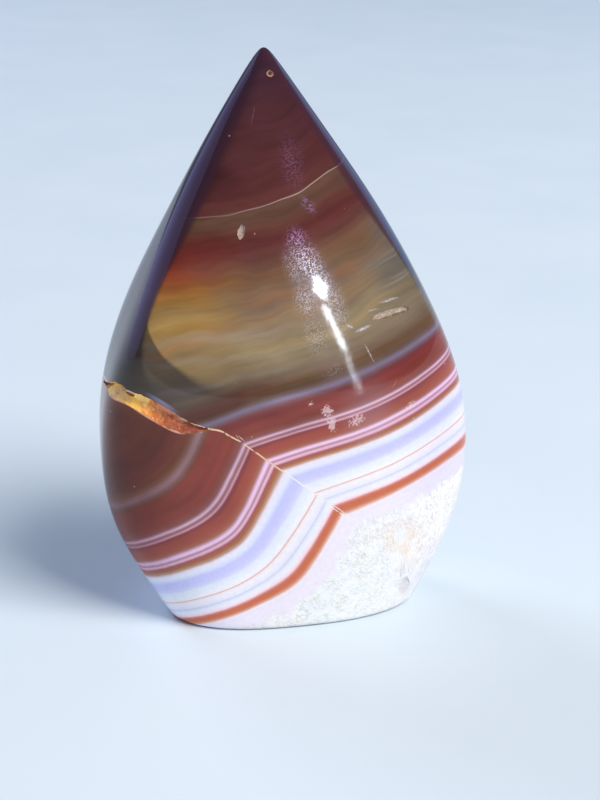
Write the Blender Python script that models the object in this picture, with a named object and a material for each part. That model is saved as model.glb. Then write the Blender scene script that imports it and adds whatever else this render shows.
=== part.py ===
"""Sardonyx teardrop: one polished, banded stone that stands on its flat base.

Metres, +Z up. The origin is on the base plane, at the middle of the stone's box.
The stone is lofted through level sections, from its base to its tip. Each section
is an oval whose front and back are ground flat, so that two crisp ridges run down
from the tip and close on the belly. A fracture ledge and four pits are cut in.
"""
import math

import bmesh
import bpy
import numpy as np
from mathutils import Matrix, Vector
from mathutils.bvhtree import BVHTree

MM = 0.001
UP = Vector((0.0, 0.0, 1.0))

# Outline seen from the front, as reaches left and right of the tip
HEIGHT = 110.0 * MM
TIP_SOFTNESS = 1.6 * MM
OUTLINE_DROPS = np.array((14.0, 30.0, 46.0, 62.0, 76.0, 90.0, 102.0, 110.0)) * MM
LEFT_REACHES = np.array((9.5, 18.1, 25.5, 31.0, 32.2, 30.3, 24.9, 20.4)) * MM
RIGHT_REACHES = np.array((10.7, 21.4, 29.9, 36.5, 39.1, 38.1, 33.8, 29.5)) * MM

# Half of the depth from front to back, before the flat faces are ground
DEPTH_DROPS = np.array((3.0, 6.0, 14.0, 30.0, 46.0, 62.0, 76.0, 90.0, 110.0)) * MM
HALF_DEPTHS = np.array((3.5, 4.6, 7.3, 12.0, 17.2, 15.9, 15.6, 15.0, 13.8)) * MM

# How square the oval sections are, where 2 is an ellipse
SQUARENESS_DROPS = np.array((0.0, 25.0, 50.0, 80.0, 110.0)) * MM
SQUARENESS = np.array((2.2, 2.7, 4.0, 2.8, 2.5))

# The ground faces stand off the middle plane and lean out towards the base
FRONT_FACE_START = 2.9 * MM
BACK_FACE_START = 3.1 * MM
FACE_LEAN = 0.205
RIDGE_SOFTNESS = 0.5 * MM

# Rounded edge around the flat base
BASE_ROUND = 1.2 * MM

# Fracture ledge on the left, along the seam where the bands are offset.
# Bearings run from the far left towards the front, in degrees. The two shallow
# stations are a lump of stone that still stands in the ledge.
LEDGE_BEARINGS = (-3.0, 6.0, 15.0, 21.5, 23.5, 26.5, 28.5, 32.5, 37.0, 42.0)
LEDGE_UPPER_LIPS = np.array((48.6, 50.2, 52.0, 51.8, 51.4, 50.7, 50.0, 47.9, 45.6, 44.4)) * MM
LEDGE_LOWER_LIPS = np.array((48.2, 49.2, 49.0, 48.4, 47.9, 47.1, 46.2, 44.5, 43.8, 44.0)) * MM
LEDGE_DEPTHS = np.array((0.3, 0.9, 1.6, 2.0, 0.9, 0.9, 1.8, 1.3, 0.7, 0.3)) * MM
LEDGE_STEP_DOWN = 0.4 * MM
CUTTER_CLEARANCE = 1.0 * MM

# Pits on the front: place across, place up, mouth width, mouth height, depth, lean in degrees
PITS = {
    "drop_pit": (-9.4 * MM, 79.2 * MM, 1.4 * MM, 2.7 * MM, 0.6 * MM, -12.0),
    "tip_pit": (-3.0 * MM, 106.0 * MM, 1.2 * MM, 1.2 * MM, 0.35 * MM, 0.0),
    "scar": (16.9 * MM, 63.6 * MM, 6.0 * MM, 1.1 * MM, 0.5 * MM, 11.0),
    "base_pit": (22.9 * MM, 5.8 * MM, 2.2 * MM, 4.0 * MM, 0.8 * MM, -8.0),
}

# Mesh density
SECTION_SAMPLES = 240
POINTS_PER_QUARTER = 20
BODY_RINGS = 40
BASE_ROUND_RINGS = 4
TIP_CROWDING = 1.5
RIDGE_CROWDING = 0.5
PIT_SEGMENTS = 16
PIT_RINGS = 8

# Polished chalcedony, in the brown between its amber and its red bands
STONE_COLOUR = (0.34, 0.11, 0.035, 1.0)
STONE_ROUGHNESS = 0.12


def natural_spline(knots, values):
    """Return the natural cubic spline through the given points."""
    steps = np.diff(knots)
    slopes = np.diff(values) / steps
    count = len(knots)
    matrix = np.eye(count)
    right_side = np.zeros(count)
    for i in range(1, count - 1):
        matrix[i, i - 1:i + 2] = (steps[i - 1], 2.0 * (steps[i - 1] + steps[i]), steps[i])
        right_side[i] = 6.0 * (slopes[i] - slopes[i - 1])
    bends = np.linalg.solve(matrix, right_side)

    def curve(at):
        i = min(max(int(np.searchsorted(knots, at)) - 1, 0), count - 2)
        step = steps[i]
        before = at - knots[i]
        after = knots[i + 1] - at
        cubic = (bends[i] * after ** 3 + bends[i + 1] * before ** 3) / (6.0 * step)
        start = (values[i] / step - bends[i] * step / 6.0) * after
        end = (values[i + 1] / step - bends[i + 1] * step / 6.0) * before
        return cubic + start + end

    return curve


def softened(drop):
    """Stretch the drop near the tip, so that a spline over it rounds the tip off."""
    return np.sqrt(drop * (drop + 2.0 * TIP_SOFTNESS))


def tip_spline(drops, values):
    """Return a spline over the drop that opens from nothing at the rounded tip."""
    curve = natural_spline(np.append(0.0, softened(drops)), np.append(0.0, values))
    return lambda drop: max(curve(softened(drop)), 0.0)


left_reach = tip_spline(OUTLINE_DROPS, LEFT_REACHES)
right_reach = tip_spline(OUTLINE_DROPS, RIGHT_REACHES)
half_depth = tip_spline(DEPTH_DROPS, HALF_DEPTHS)
squareness = natural_spline(SQUARENESS_DROPS, SQUARENESS)


def base_inset(z):
    """Return how far the rounded base edge draws the section in at one height."""
    if z >= BASE_ROUND:
        return 0.0
    return BASE_ROUND - math.sqrt(BASE_ROUND ** 2 - (BASE_ROUND - z) ** 2)


def section(z):
    """Return the outline of the stone at one height, as arrays of x and y."""
    drop = HEIGHT - z
    inset = base_inset(z)
    left = left_reach(drop) - inset
    right = right_reach(drop) - inset
    power = 2.0 / squareness(drop)
    turn = np.linspace(0.0, 2.0 * math.pi, 4 * SECTION_SAMPLES + 1)
    cosine = np.cos(turn)
    sine = np.sin(turn)
    x = (right - left) / 2.0 + (right + left) / 2.0 * np.sign(cosine) * np.abs(cosine) ** power
    oval = (half_depth(drop) - inset) * np.abs(sine) ** power
    face_start = np.where(sine > 0.0, BACK_FACE_START, FRONT_FACE_START)
    face = face_start + FACE_LEAN * drop - inset
    ground = 0.5 * (oval + face - np.sqrt((oval - face) ** 2 + RIDGE_SOFTNESS ** 2))
    y = np.sign(sine) * np.minimum(oval, np.maximum(ground, 0.0))
    return x, y


def ring(z):
    """Return the corners of one section, crowded where its outline turns sharply."""
    x, y = section(z)
    heading = np.unwrap(np.arctan2(np.diff(y), np.diff(x)))
    turning = np.abs(np.gradient(heading))
    length = np.hypot(np.diff(x), np.diff(y))
    weight = length / length.sum() + RIDGE_CROWDING * turning / turning.sum()
    corners = []
    for quarter in range(4):
        first = quarter * SECTION_SAMPLES
        last = first + SECTION_SAMPLES
        travel = np.append(0.0, np.cumsum(weight[first:last]))
        wanted = np.linspace(0.0, travel[-1], POINTS_PER_QUARTER + 1)[:-1]
        corner_x = np.interp(wanted, travel, x[first:last + 1])
        corner_y = np.interp(wanted, travel, y[first:last + 1])
        corners += [Vector((cx, cy, z)) for cx, cy in zip(corner_x, corner_y)]
    return corners


def ring_heights():
    """Return the heights of the sections, from the base up to just under the tip."""
    heights = []
    for step in range(BASE_ROUND_RINGS):
        angle = 0.5 * math.pi * step / BASE_ROUND_RINGS
        heights.append(BASE_ROUND * (1.0 - math.cos(angle)))
    for step in range(BODY_RINGS):
        share = 1.0 - step / BODY_RINGS
        heights.append(HEIGHT - (HEIGHT - BASE_ROUND) * share ** TIP_CROWDING)
    return heights


def lofted_stone():
    """Build the stone's closed skin between its sections, centred on its own box."""
    skin = bmesh.new()
    loops = [[skin.verts.new(corner) for corner in ring(z)] for z in ring_heights()]
    tip = skin.verts.new((0.0, 0.0, HEIGHT))
    for lower, upper in zip(loops, loops[1:]):
        for i, near in enumerate(lower):
            j = (i + 1) % len(lower)
            skin.faces.new((near, lower[j], upper[j], upper[i]))
    for i, near in enumerate(loops[-1]):
        skin.faces.new((near, loops[-1][(i + 1) % len(loops[-1])], tip))
    skin.faces.new(list(reversed(loops[0])))
    xs = [vertex.co.x for vertex in skin.verts]
    ys = [vertex.co.y for vertex in skin.verts]
    middle = Vector(((min(xs) + max(xs)) / 2.0, (min(ys) + max(ys)) / 2.0, 0.0))
    bmesh.ops.translate(skin, verts=skin.verts, vec=-middle)
    bmesh.ops.recalc_face_normals(skin, faces=skin.faces)
    return skin


def ledge_cutter(surface):
    """Build the wedge that leaves the ledge: a steep upper wall and a sloping floor."""
    lips = []
    for bearing, upper, lower in zip(LEDGE_BEARINGS, LEDGE_UPPER_LIPS, LEDGE_LOWER_LIPS):
        outward = Vector((-math.cos(math.radians(bearing)), -math.sin(math.radians(bearing)), 0.0))
        starts = [outward * HEIGHT + UP * z for z in (upper, lower)]
        lips.append([surface.ray_cast(start, -outward)[0] for start in starts])
    wedge = bmesh.new()
    triangles = []
    for i, depth in enumerate(LEDGE_DEPTHS):
        upper_lip, lower_lip = lips[i]
        along = lips[min(i + 1, len(lips) - 1)][0] - lips[max(i - 1, 0)][0]
        inward = UP.cross(along).normalized()
        root = upper_lip + inward * depth - UP * min(LEDGE_STEP_DOWN, depth)
        above = upper_lip + (upper_lip - root).normalized() * CUTTER_CLEARANCE
        below = lower_lip + (lower_lip - root).normalized() * CUTTER_CLEARANCE
        triangles.append([wedge.verts.new(corner) for corner in (above, root, below)])
    for first, second in zip(triangles, triangles[1:]):
        for i in range(3):
            j = (i + 1) % 3
            wedge.faces.new((first[i], first[j], second[j], second[i]))
    wedge.faces.new(triangles[0])
    wedge.faces.new(triangles[-1])
    bmesh.ops.recalc_face_normals(wedge, faces=wedge.faces)
    return wedge


def pit_cutter(surface, across, up, width, height, depth, lean):
    """Build the ellipsoid that leaves one pit, set on the front of the stone."""
    place, normal, _, _ = surface.ray_cast(Vector((across, -HEIGHT, up)), Vector((0.0, 1.0, 0.0)))
    pit = bmesh.new()
    bmesh.ops.create_uvsphere(pit, u_segments=PIT_SEGMENTS, v_segments=PIT_RINGS, radius=1.0)
    shape = Matrix.Diagonal((width / 2.0, height / 2.0, depth, 1.0))
    turn = Matrix.Rotation(math.radians(lean), 4, "Z")
    onto_face = normal.to_track_quat("Z", "Y").to_matrix().to_4x4()
    pit.transform(Matrix.Translation(place) @ onto_face @ turn @ shape)
    return pit


def add_object(name, shape, collection):
    """Turn a finished shape into an object in a collection."""
    mesh = bpy.data.meshes.new(name)
    shape.to_mesh(mesh)
    shape.free()
    item = bpy.data.objects.new(name, mesh)
    collection.objects.link(item)
    return item


def add_cut(stone, name, shape, collection):
    """Add a cutter and the modifier that takes it out of the stone."""
    cutter = add_object(name, shape, collection)
    cutter.hide_render = True
    cutter.display_type = "WIRE"
    cut = stone.modifiers.new(name, "BOOLEAN")
    cut.operation = "DIFFERENCE"
    cut.solver = "EXACT"
    cut.object = cutter


def stone_material():
    """Return the plain polished finish of the stone."""
    material = bpy.data.materials.new("polished_sardonyx")
    material.use_nodes = True
    shader = material.node_tree.nodes["Principled BSDF"]
    shader.inputs["Base Color"].default_value = STONE_COLOUR
    shader.inputs["Roughness"].default_value = STONE_ROUGHNESS
    shader.inputs["Metallic"].default_value = 0.0
    return material


def add_collection(name):
    """Add a collection to the scene."""
    collection = bpy.data.collections.new(name)
    bpy.context.scene.collection.children.link(collection)
    return collection


for old in list(bpy.data.objects):
    bpy.data.objects.remove(old, do_unlink=True)

parts = add_collection("sardonyx_teardrop")
cutters = add_collection("cutters")
skin = lofted_stone()
surface = BVHTree.FromBMesh(skin)
stone = add_object("stone", skin, parts)
stone.data.materials.append(stone_material())
stone.data.shade_smooth()
stone.data.set_sharp_from_angle(angle=math.radians(30.0))
add_cut(stone, "ledge_cutter", ledge_cutter(surface), cutters)
for pit_name, pit_shape in PITS.items():
    add_cut(stone, pit_name, pit_cutter(surface, *pit_shape), cutters)
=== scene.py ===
import math

import bpy
import numpy as np
from mathutils import Matrix, Vector, noise
from mathutils.bvhtree import BVHTree


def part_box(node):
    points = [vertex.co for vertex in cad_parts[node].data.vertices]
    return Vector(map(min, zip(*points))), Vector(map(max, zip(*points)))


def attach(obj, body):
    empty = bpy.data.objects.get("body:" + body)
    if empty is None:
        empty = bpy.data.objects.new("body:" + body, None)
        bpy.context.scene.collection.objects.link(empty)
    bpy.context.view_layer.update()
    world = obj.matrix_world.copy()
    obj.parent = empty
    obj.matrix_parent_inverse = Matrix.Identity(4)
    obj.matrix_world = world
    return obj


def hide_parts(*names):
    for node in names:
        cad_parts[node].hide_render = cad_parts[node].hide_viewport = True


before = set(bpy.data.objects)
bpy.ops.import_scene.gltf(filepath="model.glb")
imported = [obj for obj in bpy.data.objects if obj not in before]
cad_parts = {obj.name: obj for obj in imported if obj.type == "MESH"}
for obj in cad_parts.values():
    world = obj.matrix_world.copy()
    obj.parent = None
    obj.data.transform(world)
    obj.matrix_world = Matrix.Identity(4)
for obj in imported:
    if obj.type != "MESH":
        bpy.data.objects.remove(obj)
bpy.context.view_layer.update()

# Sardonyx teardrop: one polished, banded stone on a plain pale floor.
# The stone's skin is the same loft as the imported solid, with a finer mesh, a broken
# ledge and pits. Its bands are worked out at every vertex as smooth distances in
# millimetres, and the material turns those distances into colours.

MM = 0.001
UP = Vector((0.0, 0.0, 1.0))

# Outline seen from the front, as reaches left and right of the tip, in millimetres
HEIGHT = 110.0
TIP_SOFTNESS = 1.6
OUTLINE_DROPS = (14.0, 30.0, 46.0, 62.0, 76.0, 90.0, 102.0, 110.0)
LEFT_REACHES = (9.5, 18.1, 25.5, 31.0, 32.2, 30.3, 24.9, 20.4)
RIGHT_REACHES = (10.7, 21.4, 29.9, 36.5, 39.1, 38.1, 33.8, 29.5)
DEPTH_DROPS = (3.0, 6.0, 14.0, 30.0, 46.0, 62.0, 76.0, 90.0, 110.0)
HALF_DEPTHS = (3.5, 4.6, 7.3, 12.0, 17.2, 15.9, 15.6, 15.0, 13.8)
SQUARENESS_DROPS = (0.0, 25.0, 50.0, 80.0, 110.0)
SQUARENESS = (2.2, 2.7, 4.0, 2.8, 2.5)
FRONT_FACE_START = 2.9
BACK_FACE_START = 3.1
FACE_LEAN = 0.205
RIDGE_SOFTNESS = 0.5
BASE_ROUND = 1.2

# Fracture ledge: bearings run from the far left towards the front, in degrees
LEDGE_BEARINGS = (-3.0, 6.0, 15.0, 21.5, 23.5, 26.5, 28.5, 32.5, 37.0, 42.0)
LEDGE_UPPER_LIPS = (48.6, 50.2, 52.0, 51.8, 51.4, 50.7, 50.0, 47.9, 45.6, 44.4)
LEDGE_LOWER_LIPS = (48.2, 49.1, 49.0, 48.7, 48.0, 46.6, 45.7, 44.0, 43.6, 44.0)
LEDGE_DEPTHS = (0.3, 0.9, 1.6, 2.0, 2.0, 1.9, 1.8, 1.3, 0.7, 0.3)
LEDGE_STEP_DOWN = 0.4
LEDGE_CLEARANCE = 1.0
LEDGE_STATIONS = 220
LEDGE_WALL_POINTS = 10
LEDGE_FLOOR_POINTS = 24
LEDGE_ROUGHNESS = 0.5
LEDGE_GRAIN = 1.6
LEDGE_JITTER = 0.25
# A crumbly lump still stands in the ledge
LUMP_BEARING = 21.6
LUMP_SPREAD = 1.9
LUMP_HEIGHT = 2.5
LUMP_GRAIN = 0.7
LUMP_ROWS = 6.0

# Pits on the front: place across, place up, mouth width, mouth height, depth, lean in degrees
PITS = {
    "drop_pit": (-9.4, 79.2, 1.3, 2.6, 0.5, -12.0),
    "tip_pit": (-3.0, 106.0, 1.2, 1.2, 0.3, 0.0),
    "scar": (17.5, 63.4, 7.6, 1.35, 0.35, 11.0),
    "base_pit": (22.0, 5.5, 2.8, 4.2, 0.2, 6.0),
}
PIT_RAGGEDNESS = 0.22
PIT_GRAIN = 0.9
# Heights between the pits, from the bottom up
PIT_LIMITS = (30.0, 72.0, 95.0)

# Mesh density
SECTION_SAMPLES = 480
POINTS_PER_QUARTER = 80
BODY_RINGS = 170
BASE_ROUND_RINGS = 6
TIP_CROWDING = 1.5
RIDGE_CROWDING = 0.5
PIT_SEGMENTS = 40
PIT_RINGS = 20
SHARP_ANGLE = math.radians(40.0)


def natural_spline(knots, values):
    """Return the natural cubic spline through the given points, for numbers or arrays."""
    knots = np.asarray(knots, float)
    values = np.asarray(values, float)
    steps = np.diff(knots)
    slopes = np.diff(values) / steps
    count = len(knots)
    matrix = np.eye(count)
    right_side = np.zeros(count)
    for i in range(1, count - 1):
        matrix[i, i - 1:i + 2] = (steps[i - 1], 2.0 * (steps[i - 1] + steps[i]), steps[i])
        right_side[i] = 6.0 * (slopes[i] - slopes[i - 1])
    bends = np.linalg.solve(matrix, right_side)

    def curve(at):
        i = np.clip(np.searchsorted(knots, at) - 1, 0, count - 2)
        step = steps[i]
        before = at - knots[i]
        after = knots[i + 1] - at
        cubic = (bends[i] * after ** 3 + bends[i + 1] * before ** 3) / (6.0 * step)
        start = (values[i] / step - bends[i] * step / 6.0) * after
        end = (values[i + 1] / step - bends[i + 1] * step / 6.0) * before
        return cubic + start + end

    return curve


def softened(drop):
    """Stretch the drop near the tip, so that a spline over it rounds the tip off."""
    return np.sqrt(drop * (drop + 2.0 * TIP_SOFTNESS))


def tip_spline(drops, values):
    """Return a spline over the drop that opens from nothing at the rounded tip."""
    curve = natural_spline(np.append(0.0, softened(np.array(drops))), np.append(0.0, values))
    return lambda drop: np.maximum(curve(softened(drop)), 0.0)


left_reach = tip_spline(OUTLINE_DROPS, LEFT_REACHES)
right_reach = tip_spline(OUTLINE_DROPS, RIGHT_REACHES)
half_depth = tip_spline(DEPTH_DROPS, HALF_DEPTHS)
squareness = natural_spline(SQUARENESS_DROPS, SQUARENESS)


def base_inset(z):
    """Return how far the rounded base edge draws the section in at one height."""
    if z >= BASE_ROUND:
        return 0.0
    return BASE_ROUND - math.sqrt(BASE_ROUND ** 2 - (BASE_ROUND - z) ** 2)


def section(z):
    """Return the outline of the stone at one height, as arrays of x and y."""
    drop = HEIGHT - z
    inset = base_inset(z)
    left = left_reach(drop) - inset
    right = right_reach(drop) - inset
    power = 2.0 / squareness(drop)
    turn = np.linspace(0.0, 2.0 * math.pi, 4 * SECTION_SAMPLES + 1)
    cosine = np.cos(turn)
    sine = np.sin(turn)
    x = (right - left) / 2.0 + (right + left) / 2.0 * np.sign(cosine) * np.abs(cosine) ** power
    oval = (half_depth(drop) - inset) * np.abs(sine) ** power
    face_start = np.where(sine > 0.0, BACK_FACE_START, FRONT_FACE_START)
    face = face_start + FACE_LEAN * drop - inset
    ground = 0.5 * (oval + face - np.sqrt((oval - face) ** 2 + RIDGE_SOFTNESS ** 2))
    y = np.sign(sine) * np.minimum(oval, np.maximum(ground, 0.0))
    return x, y


def ring(z):
    """Return the corners of one section, crowded where its outline turns sharply."""
    x, y = section(z)
    heading = np.unwrap(np.arctan2(np.diff(y), np.diff(x)))
    turning = np.abs(np.gradient(heading))
    length = np.hypot(np.diff(x), np.diff(y))
    weight = length / length.sum() + RIDGE_CROWDING * turning / turning.sum()
    corners = []
    for quarter in range(4):
        first = quarter * SECTION_SAMPLES
        last = first + SECTION_SAMPLES
        travel = np.append(0.0, np.cumsum(weight[first:last]))
        wanted = np.linspace(0.0, travel[-1], POINTS_PER_QUARTER + 1)[:-1]
        corner_x = np.interp(wanted, travel, x[first:last + 1])
        corner_y = np.interp(wanted, travel, y[first:last + 1])
        corners += [(cx, cy, z) for cx, cy in zip(corner_x, corner_y)]
    return corners


def ring_heights():
    """Return the heights of the sections, from the base up to just under the tip."""
    heights = []
    for step in range(BASE_ROUND_RINGS):
        angle = 0.5 * math.pi * step / BASE_ROUND_RINGS
        heights.append(BASE_ROUND * (1.0 - math.cos(angle)))
    for step in range(BODY_RINGS):
        share = 1.0 - step / BODY_RINGS
        heights.append(HEIGHT - (HEIGHT - BASE_ROUND) * share ** TIP_CROWDING)
    return heights


def lofted_stone():
    """Return the stone's corners, its faces, and the place of the tip in its box."""
    rings = [ring(z) for z in ring_heights()]
    corners = np.array([corner for points in rings for corner in points] + [(0.0, 0.0, HEIGHT)])
    middle = (corners.min(axis=0) + corners.max(axis=0)) / 2.0
    corners[:, :2] -= middle[:2]
    reach = np.array(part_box("stone")[1]) / MM
    corners *= reach / corners.max(axis=0)
    around = len(rings[0])
    faces = []
    for level in range(len(rings) - 1):
        low = level * around
        high = low + around
        for i in range(around):
            j = (i + 1) % around
            faces.append((low + i, low + j, high + j, high + i))
    last = (len(rings) - 1) * around
    tip = len(corners) - 1
    faces += [(last + i, last + (i + 1) % around, tip) for i in range(around)]
    faces.append(tuple(reversed(range(around))))
    return corners, faces, -middle[0]


def add_object(name, data):
    """Add an object to the scene."""
    item = bpy.data.objects.new(name, data)
    bpy.context.scene.collection.objects.link(item)
    return item


def mesh_object(name, corners, faces):
    """Add an object whose corners are given in millimetres."""
    mesh = bpy.data.meshes.new(name)
    mesh.from_pydata([tuple(MM * c for c in corner) for corner in corners], [], faces)
    mesh.validate()
    return add_object(name, mesh)


def roughen(point, size):
    """Return rough noise between about -1 and 1 at a point given in millimetres."""
    total = 0.0
    for octave in range(3):
        total += noise.noise(point * (2.0 ** octave / size)) / 2.0 ** octave
    return total


def ledge_cutter(surface):
    """Build the broken wedge that leaves the ledge: a steep wall over a sloping floor."""
    upper_lip = natural_spline(LEDGE_BEARINGS, LEDGE_UPPER_LIPS)
    lower_lip = natural_spline(LEDGE_BEARINGS, LEDGE_LOWER_LIPS)
    depth_at = natural_spline(LEDGE_BEARINGS, LEDGE_DEPTHS)
    corners = []
    bearings = np.linspace(LEDGE_BEARINGS[0], LEDGE_BEARINGS[-1], LEDGE_STATIONS)
    for bearing in bearings:
        angle = math.radians(bearing)
        outward = Vector((-math.cos(angle), -math.sin(angle), 0.0))
        jitter = LEDGE_JITTER * noise.noise(Vector((bearing * 0.9, 3.0, 0.0)))
        heights = (float(upper_lip(bearing)) + jitter, float(lower_lip(bearing)) - jitter)
        hits = [surface.ray_cast((outward * HEIGHT + UP * z) * MM, -outward) for z in heights]
        upper, lower = [hit[0] / MM for hit in hits]
        normal = Vector((hits[0][1].x, hits[0][1].y, 0.0)).normalized()
        depth = float(depth_at(bearing))
        root = upper - normal * depth - UP * min(LEDGE_STEP_DOWN, depth)
        above = upper + (upper - root).normalized() * LEDGE_CLEARANCE
        below = lower + (lower - root).normalized() * LEDGE_CLEARANCE
        lump = LUMP_HEIGHT * math.exp(-((bearing - LUMP_BEARING) / LUMP_SPREAD) ** 4)
        profile = [above.lerp(root, i / LEDGE_WALL_POINTS) for i in range(LEDGE_WALL_POINTS)]
        profile += [root.lerp(below, i / LEDGE_FLOOR_POINTS) for i in range(LEDGE_FLOOR_POINTS + 1)]
        for i, point in enumerate(profile):
            inside = math.sin(math.pi * i / (len(profile) - 1))
            rough = roughen(point, LEDGE_GRAIN) * LEDGE_ROUGHNESS * min(1.0, depth)
            near_root = math.exp(-((i - LEDGE_WALL_POINTS) / LUMP_ROWS) ** 4)
            crumbs = lump * (1.0 + 0.5 * roughen(point, LUMP_GRAIN))
            corners.append(point + normal * (rough * inside + crumbs * near_root))
    across = LEDGE_WALL_POINTS + LEDGE_FLOOR_POINTS + 1
    faces = []
    for station in range(LEDGE_STATIONS - 1):
        for i in range(across):
            j = (i + 1) % across
            first = station * across
            faces.append((first + i, first + across + i, first + across + j, first + j))
    faces.append(tuple(range(across)))
    faces.append(tuple(reversed(range(len(corners) - across, len(corners)))))
    return mesh_object("ledge_cutter", corners, faces)


def pit_cutter(surface, name, across, up, width, height, depth, lean):
    """Build the ragged ellipsoid that leaves one pit in the front of the stone."""
    start = Vector((across, -HEIGHT, up)) * MM
    place, normal, _, _ = surface.ray_cast(start, Vector((0.0, 1.0, 0.0)))
    shape = Matrix.Diagonal((width / 2.0, height / 2.0, depth, 1.0))
    turn = Matrix.Rotation(math.radians(lean), 4, "Z")
    onto_face = normal.to_track_quat("Z", "Y").to_matrix().to_4x4()
    frame_of_pit = Matrix.Translation(place / MM) @ onto_face @ turn @ shape
    corners = []
    for row in range(1, PIT_RINGS):
        polar = math.pi * row / PIT_RINGS
        for column in range(PIT_SEGMENTS):
            angle = 2.0 * math.pi * column / PIT_SEGMENTS
            corner = Vector((math.cos(angle), math.sin(angle), 0.0)) * math.sin(polar)
            corner.z = math.cos(polar)
            swell = 1.0 + PIT_RAGGEDNESS * roughen(corner + Vector((across, up, 0.0)), PIT_GRAIN)
            corners.append(frame_of_pit @ (corner * swell))
    corners += [frame_of_pit @ Vector((0.0, 0.0, 1.0)), frame_of_pit @ Vector((0.0, 0.0, -1.0))]
    north = len(corners) - 2
    faces = []
    for row in range(PIT_RINGS - 2):
        for i in range(PIT_SEGMENTS):
            j = (i + 1) % PIT_SEGMENTS
            low = row * PIT_SEGMENTS
            faces.append((low + i, low + PIT_SEGMENTS + i, low + PIT_SEGMENTS + j, low + j))
    last = (PIT_RINGS - 2) * PIT_SEGMENTS
    for i in range(PIT_SEGMENTS):
        j = (i + 1) % PIT_SEGMENTS
        faces.append((north, i, j))
        faces.append((north + 1, last + j, last + i))
    return mesh_object(name, corners, faces)


def cut(stone, cutter, material_index):
    """Take a cutter out of the stone and give the new faces one of its materials."""
    for _ in range(material_index + 1):
        cutter.data.materials.append(None)
    cutter.data.polygons.foreach_set("material_index", [material_index] * len(cutter.data.polygons))
    step = stone.modifiers.new(cutter.name, "BOOLEAN")
    step.operation = "DIFFERENCE"
    step.solver = "EXACT"
    step.object = cutter


# Bands, in millimetres. The height used for them drops towards the back by DIP.
DIP = 0.2
BAND_PLACES = (-36.0, -20.0, -10.0, 0.0, 10.0, 20.0, 30.0, 36.0)
# Lines of the upper block, from the bottom up: each has a level and its height at BAND_PLACES
UPPER_LINES = (
    (21.7, (9.0, 13.0, 15.7, 18.4, 21.7, 25.4, 30.0, 32.2)),
    (24.6, (12.0, 16.0, 18.9, 21.7, 24.8, 28.0, 32.8, 35.35)),
    (35.4, (23.5, 27.4, 30.15, 33.0, 35.5, 38.95, 44.65, 48.05)),
    (38.2, (26.5, 30.3, 32.95, 35.8, 38.2, 42.0, 47.7, 51.3)),
    (42.7, (30.5, 34.8, 37.6, 40.25, 42.55, 46.65, 53.1, 57.3)),
    (49.3, (37.0, 41.0, 44.4, 46.8, 49.3, 53.7, 60.5, 65.5)),
    (78.0, (71.0, 71.3, 72.2, 73.8, 78.3, 85.0, 93.0, 98.5)),
    (88.0, (80.0, 80.0, 81.0, 83.5, 89.3, 97.0, 106.0, 112.0)),
)
# The lower block's bands bend round a corner: distance across them against the level
LOWER_TURN = math.radians(40.2)
LOWER_CORNER = 3.24
LOWER_CORNER_SOFTNESS = 5.07
LOWER_BEND = 0.414
LOWER_SPREAD = 0.0042
LOWER_DISTANCES = (-72.0, -39.0, -29.8, -28.6, -23.6, -22.2, -20.2, -12.5, -8.0, -5.5, 30.0)
LOWER_LEVELS = (73.0, 49.3, 42.7, 41.7, 38.2, 36.8, 35.4, 28.7, 24.6, 21.7, -14.0)
# Below level 42 those bands also swell and thin a little along their length
SWELL_PLACES = (-40.0, -29.0, -23.0, -17.0, -13.0, -8.0, -4.5, 0.0, 4.0, 9.0, 36.0)
SWELLS = (0.7, 0.5, 0.43, 0.25, 0.26, 0.56, 0.6, 0.2, -0.12, -0.1, -0.1)
SWELLS_END = (39.0, 42.0)
# The seam between the blocks
SEAM_PLACES = (
    -40.0, -34.4, -30.8, -27.1, -24.5, -20.1, -17.1, -14.3, -12.9, -11.1, -9.2, -3.7, 4.3, 8.9, 20.6, 40.0)
SEAM_HEIGHTS = (
    50.0, 49.5, 49.0, 47.3, 45.7, 42.4, 41.3, 40.5, 39.4, 38.3, 36.6, 32.0, 25.3, 21.3, 10.8, -6.0)
# The painted glow inside the ground faces ends above this line, and outside it the top gets painted shade:
# level against place across
GLOW_PLACES = (-29.0, -26.6, -24.8, -22.0, -19.5, -16.0, -11.0, 0.0, 12.0, 36.0)
GLOW_LEVELS = (73.5, 67.5, 64.2, 61.2, 58.6, 56.2, 54.0, 51.5, 49.5, 47.5)
GLOW_CORNER = 2.0
GLOW_MARGIN = 0.4
GROUND_MARGIN = 0.35
# The glow's edge is crisp on the left and fades out to the right
GLOW_FADE_PLACES = (-24.0, -14.0, 0.0, 20.0)
GLOW_FADES = (0.45, 1.6, 3.0, 3.0)


def upper_level(x, height):
    """Return the band level of points in the upper block."""
    levels = [level for level, _ in UPPER_LINES]
    lines = [natural_spline(BAND_PLACES, heights)(x) for _, heights in UPPER_LINES]
    found = levels[0] + height - lines[0]
    for i in range(len(levels) - 1):
        share = (height - lines[i]) / (lines[i + 1] - lines[i])
        found = np.where(share >= 0.0, levels[i] + share * (levels[i + 1] - levels[i]), found)
    return np.where(height > lines[-1], levels[-1] + height - lines[-1], found)


def lower_level(x, height):
    """Return the band level of points in the lower block."""
    across = x * math.sin(LOWER_TURN) - height * math.cos(LOWER_TURN)
    along = x * math.cos(LOWER_TURN) + height * math.sin(LOWER_TURN) - LOWER_CORNER
    bend = LOWER_BEND * (np.sqrt(along ** 2 + LOWER_CORNER_SOFTNESS ** 2) - LOWER_CORNER_SOFTNESS)
    distance = (across + bend) / (1.0 + LOWER_SPREAD * along)
    level = np.interp(distance, LOWER_DISTANCES, LOWER_LEVELS)
    swell = natural_spline(SWELL_PLACES, SWELLS)(np.clip(x, SWELL_PLACES[0], SWELL_PLACES[-1]))
    return level - swell * np.interp(level, SWELLS_END, (1.0, 0.0))


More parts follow.
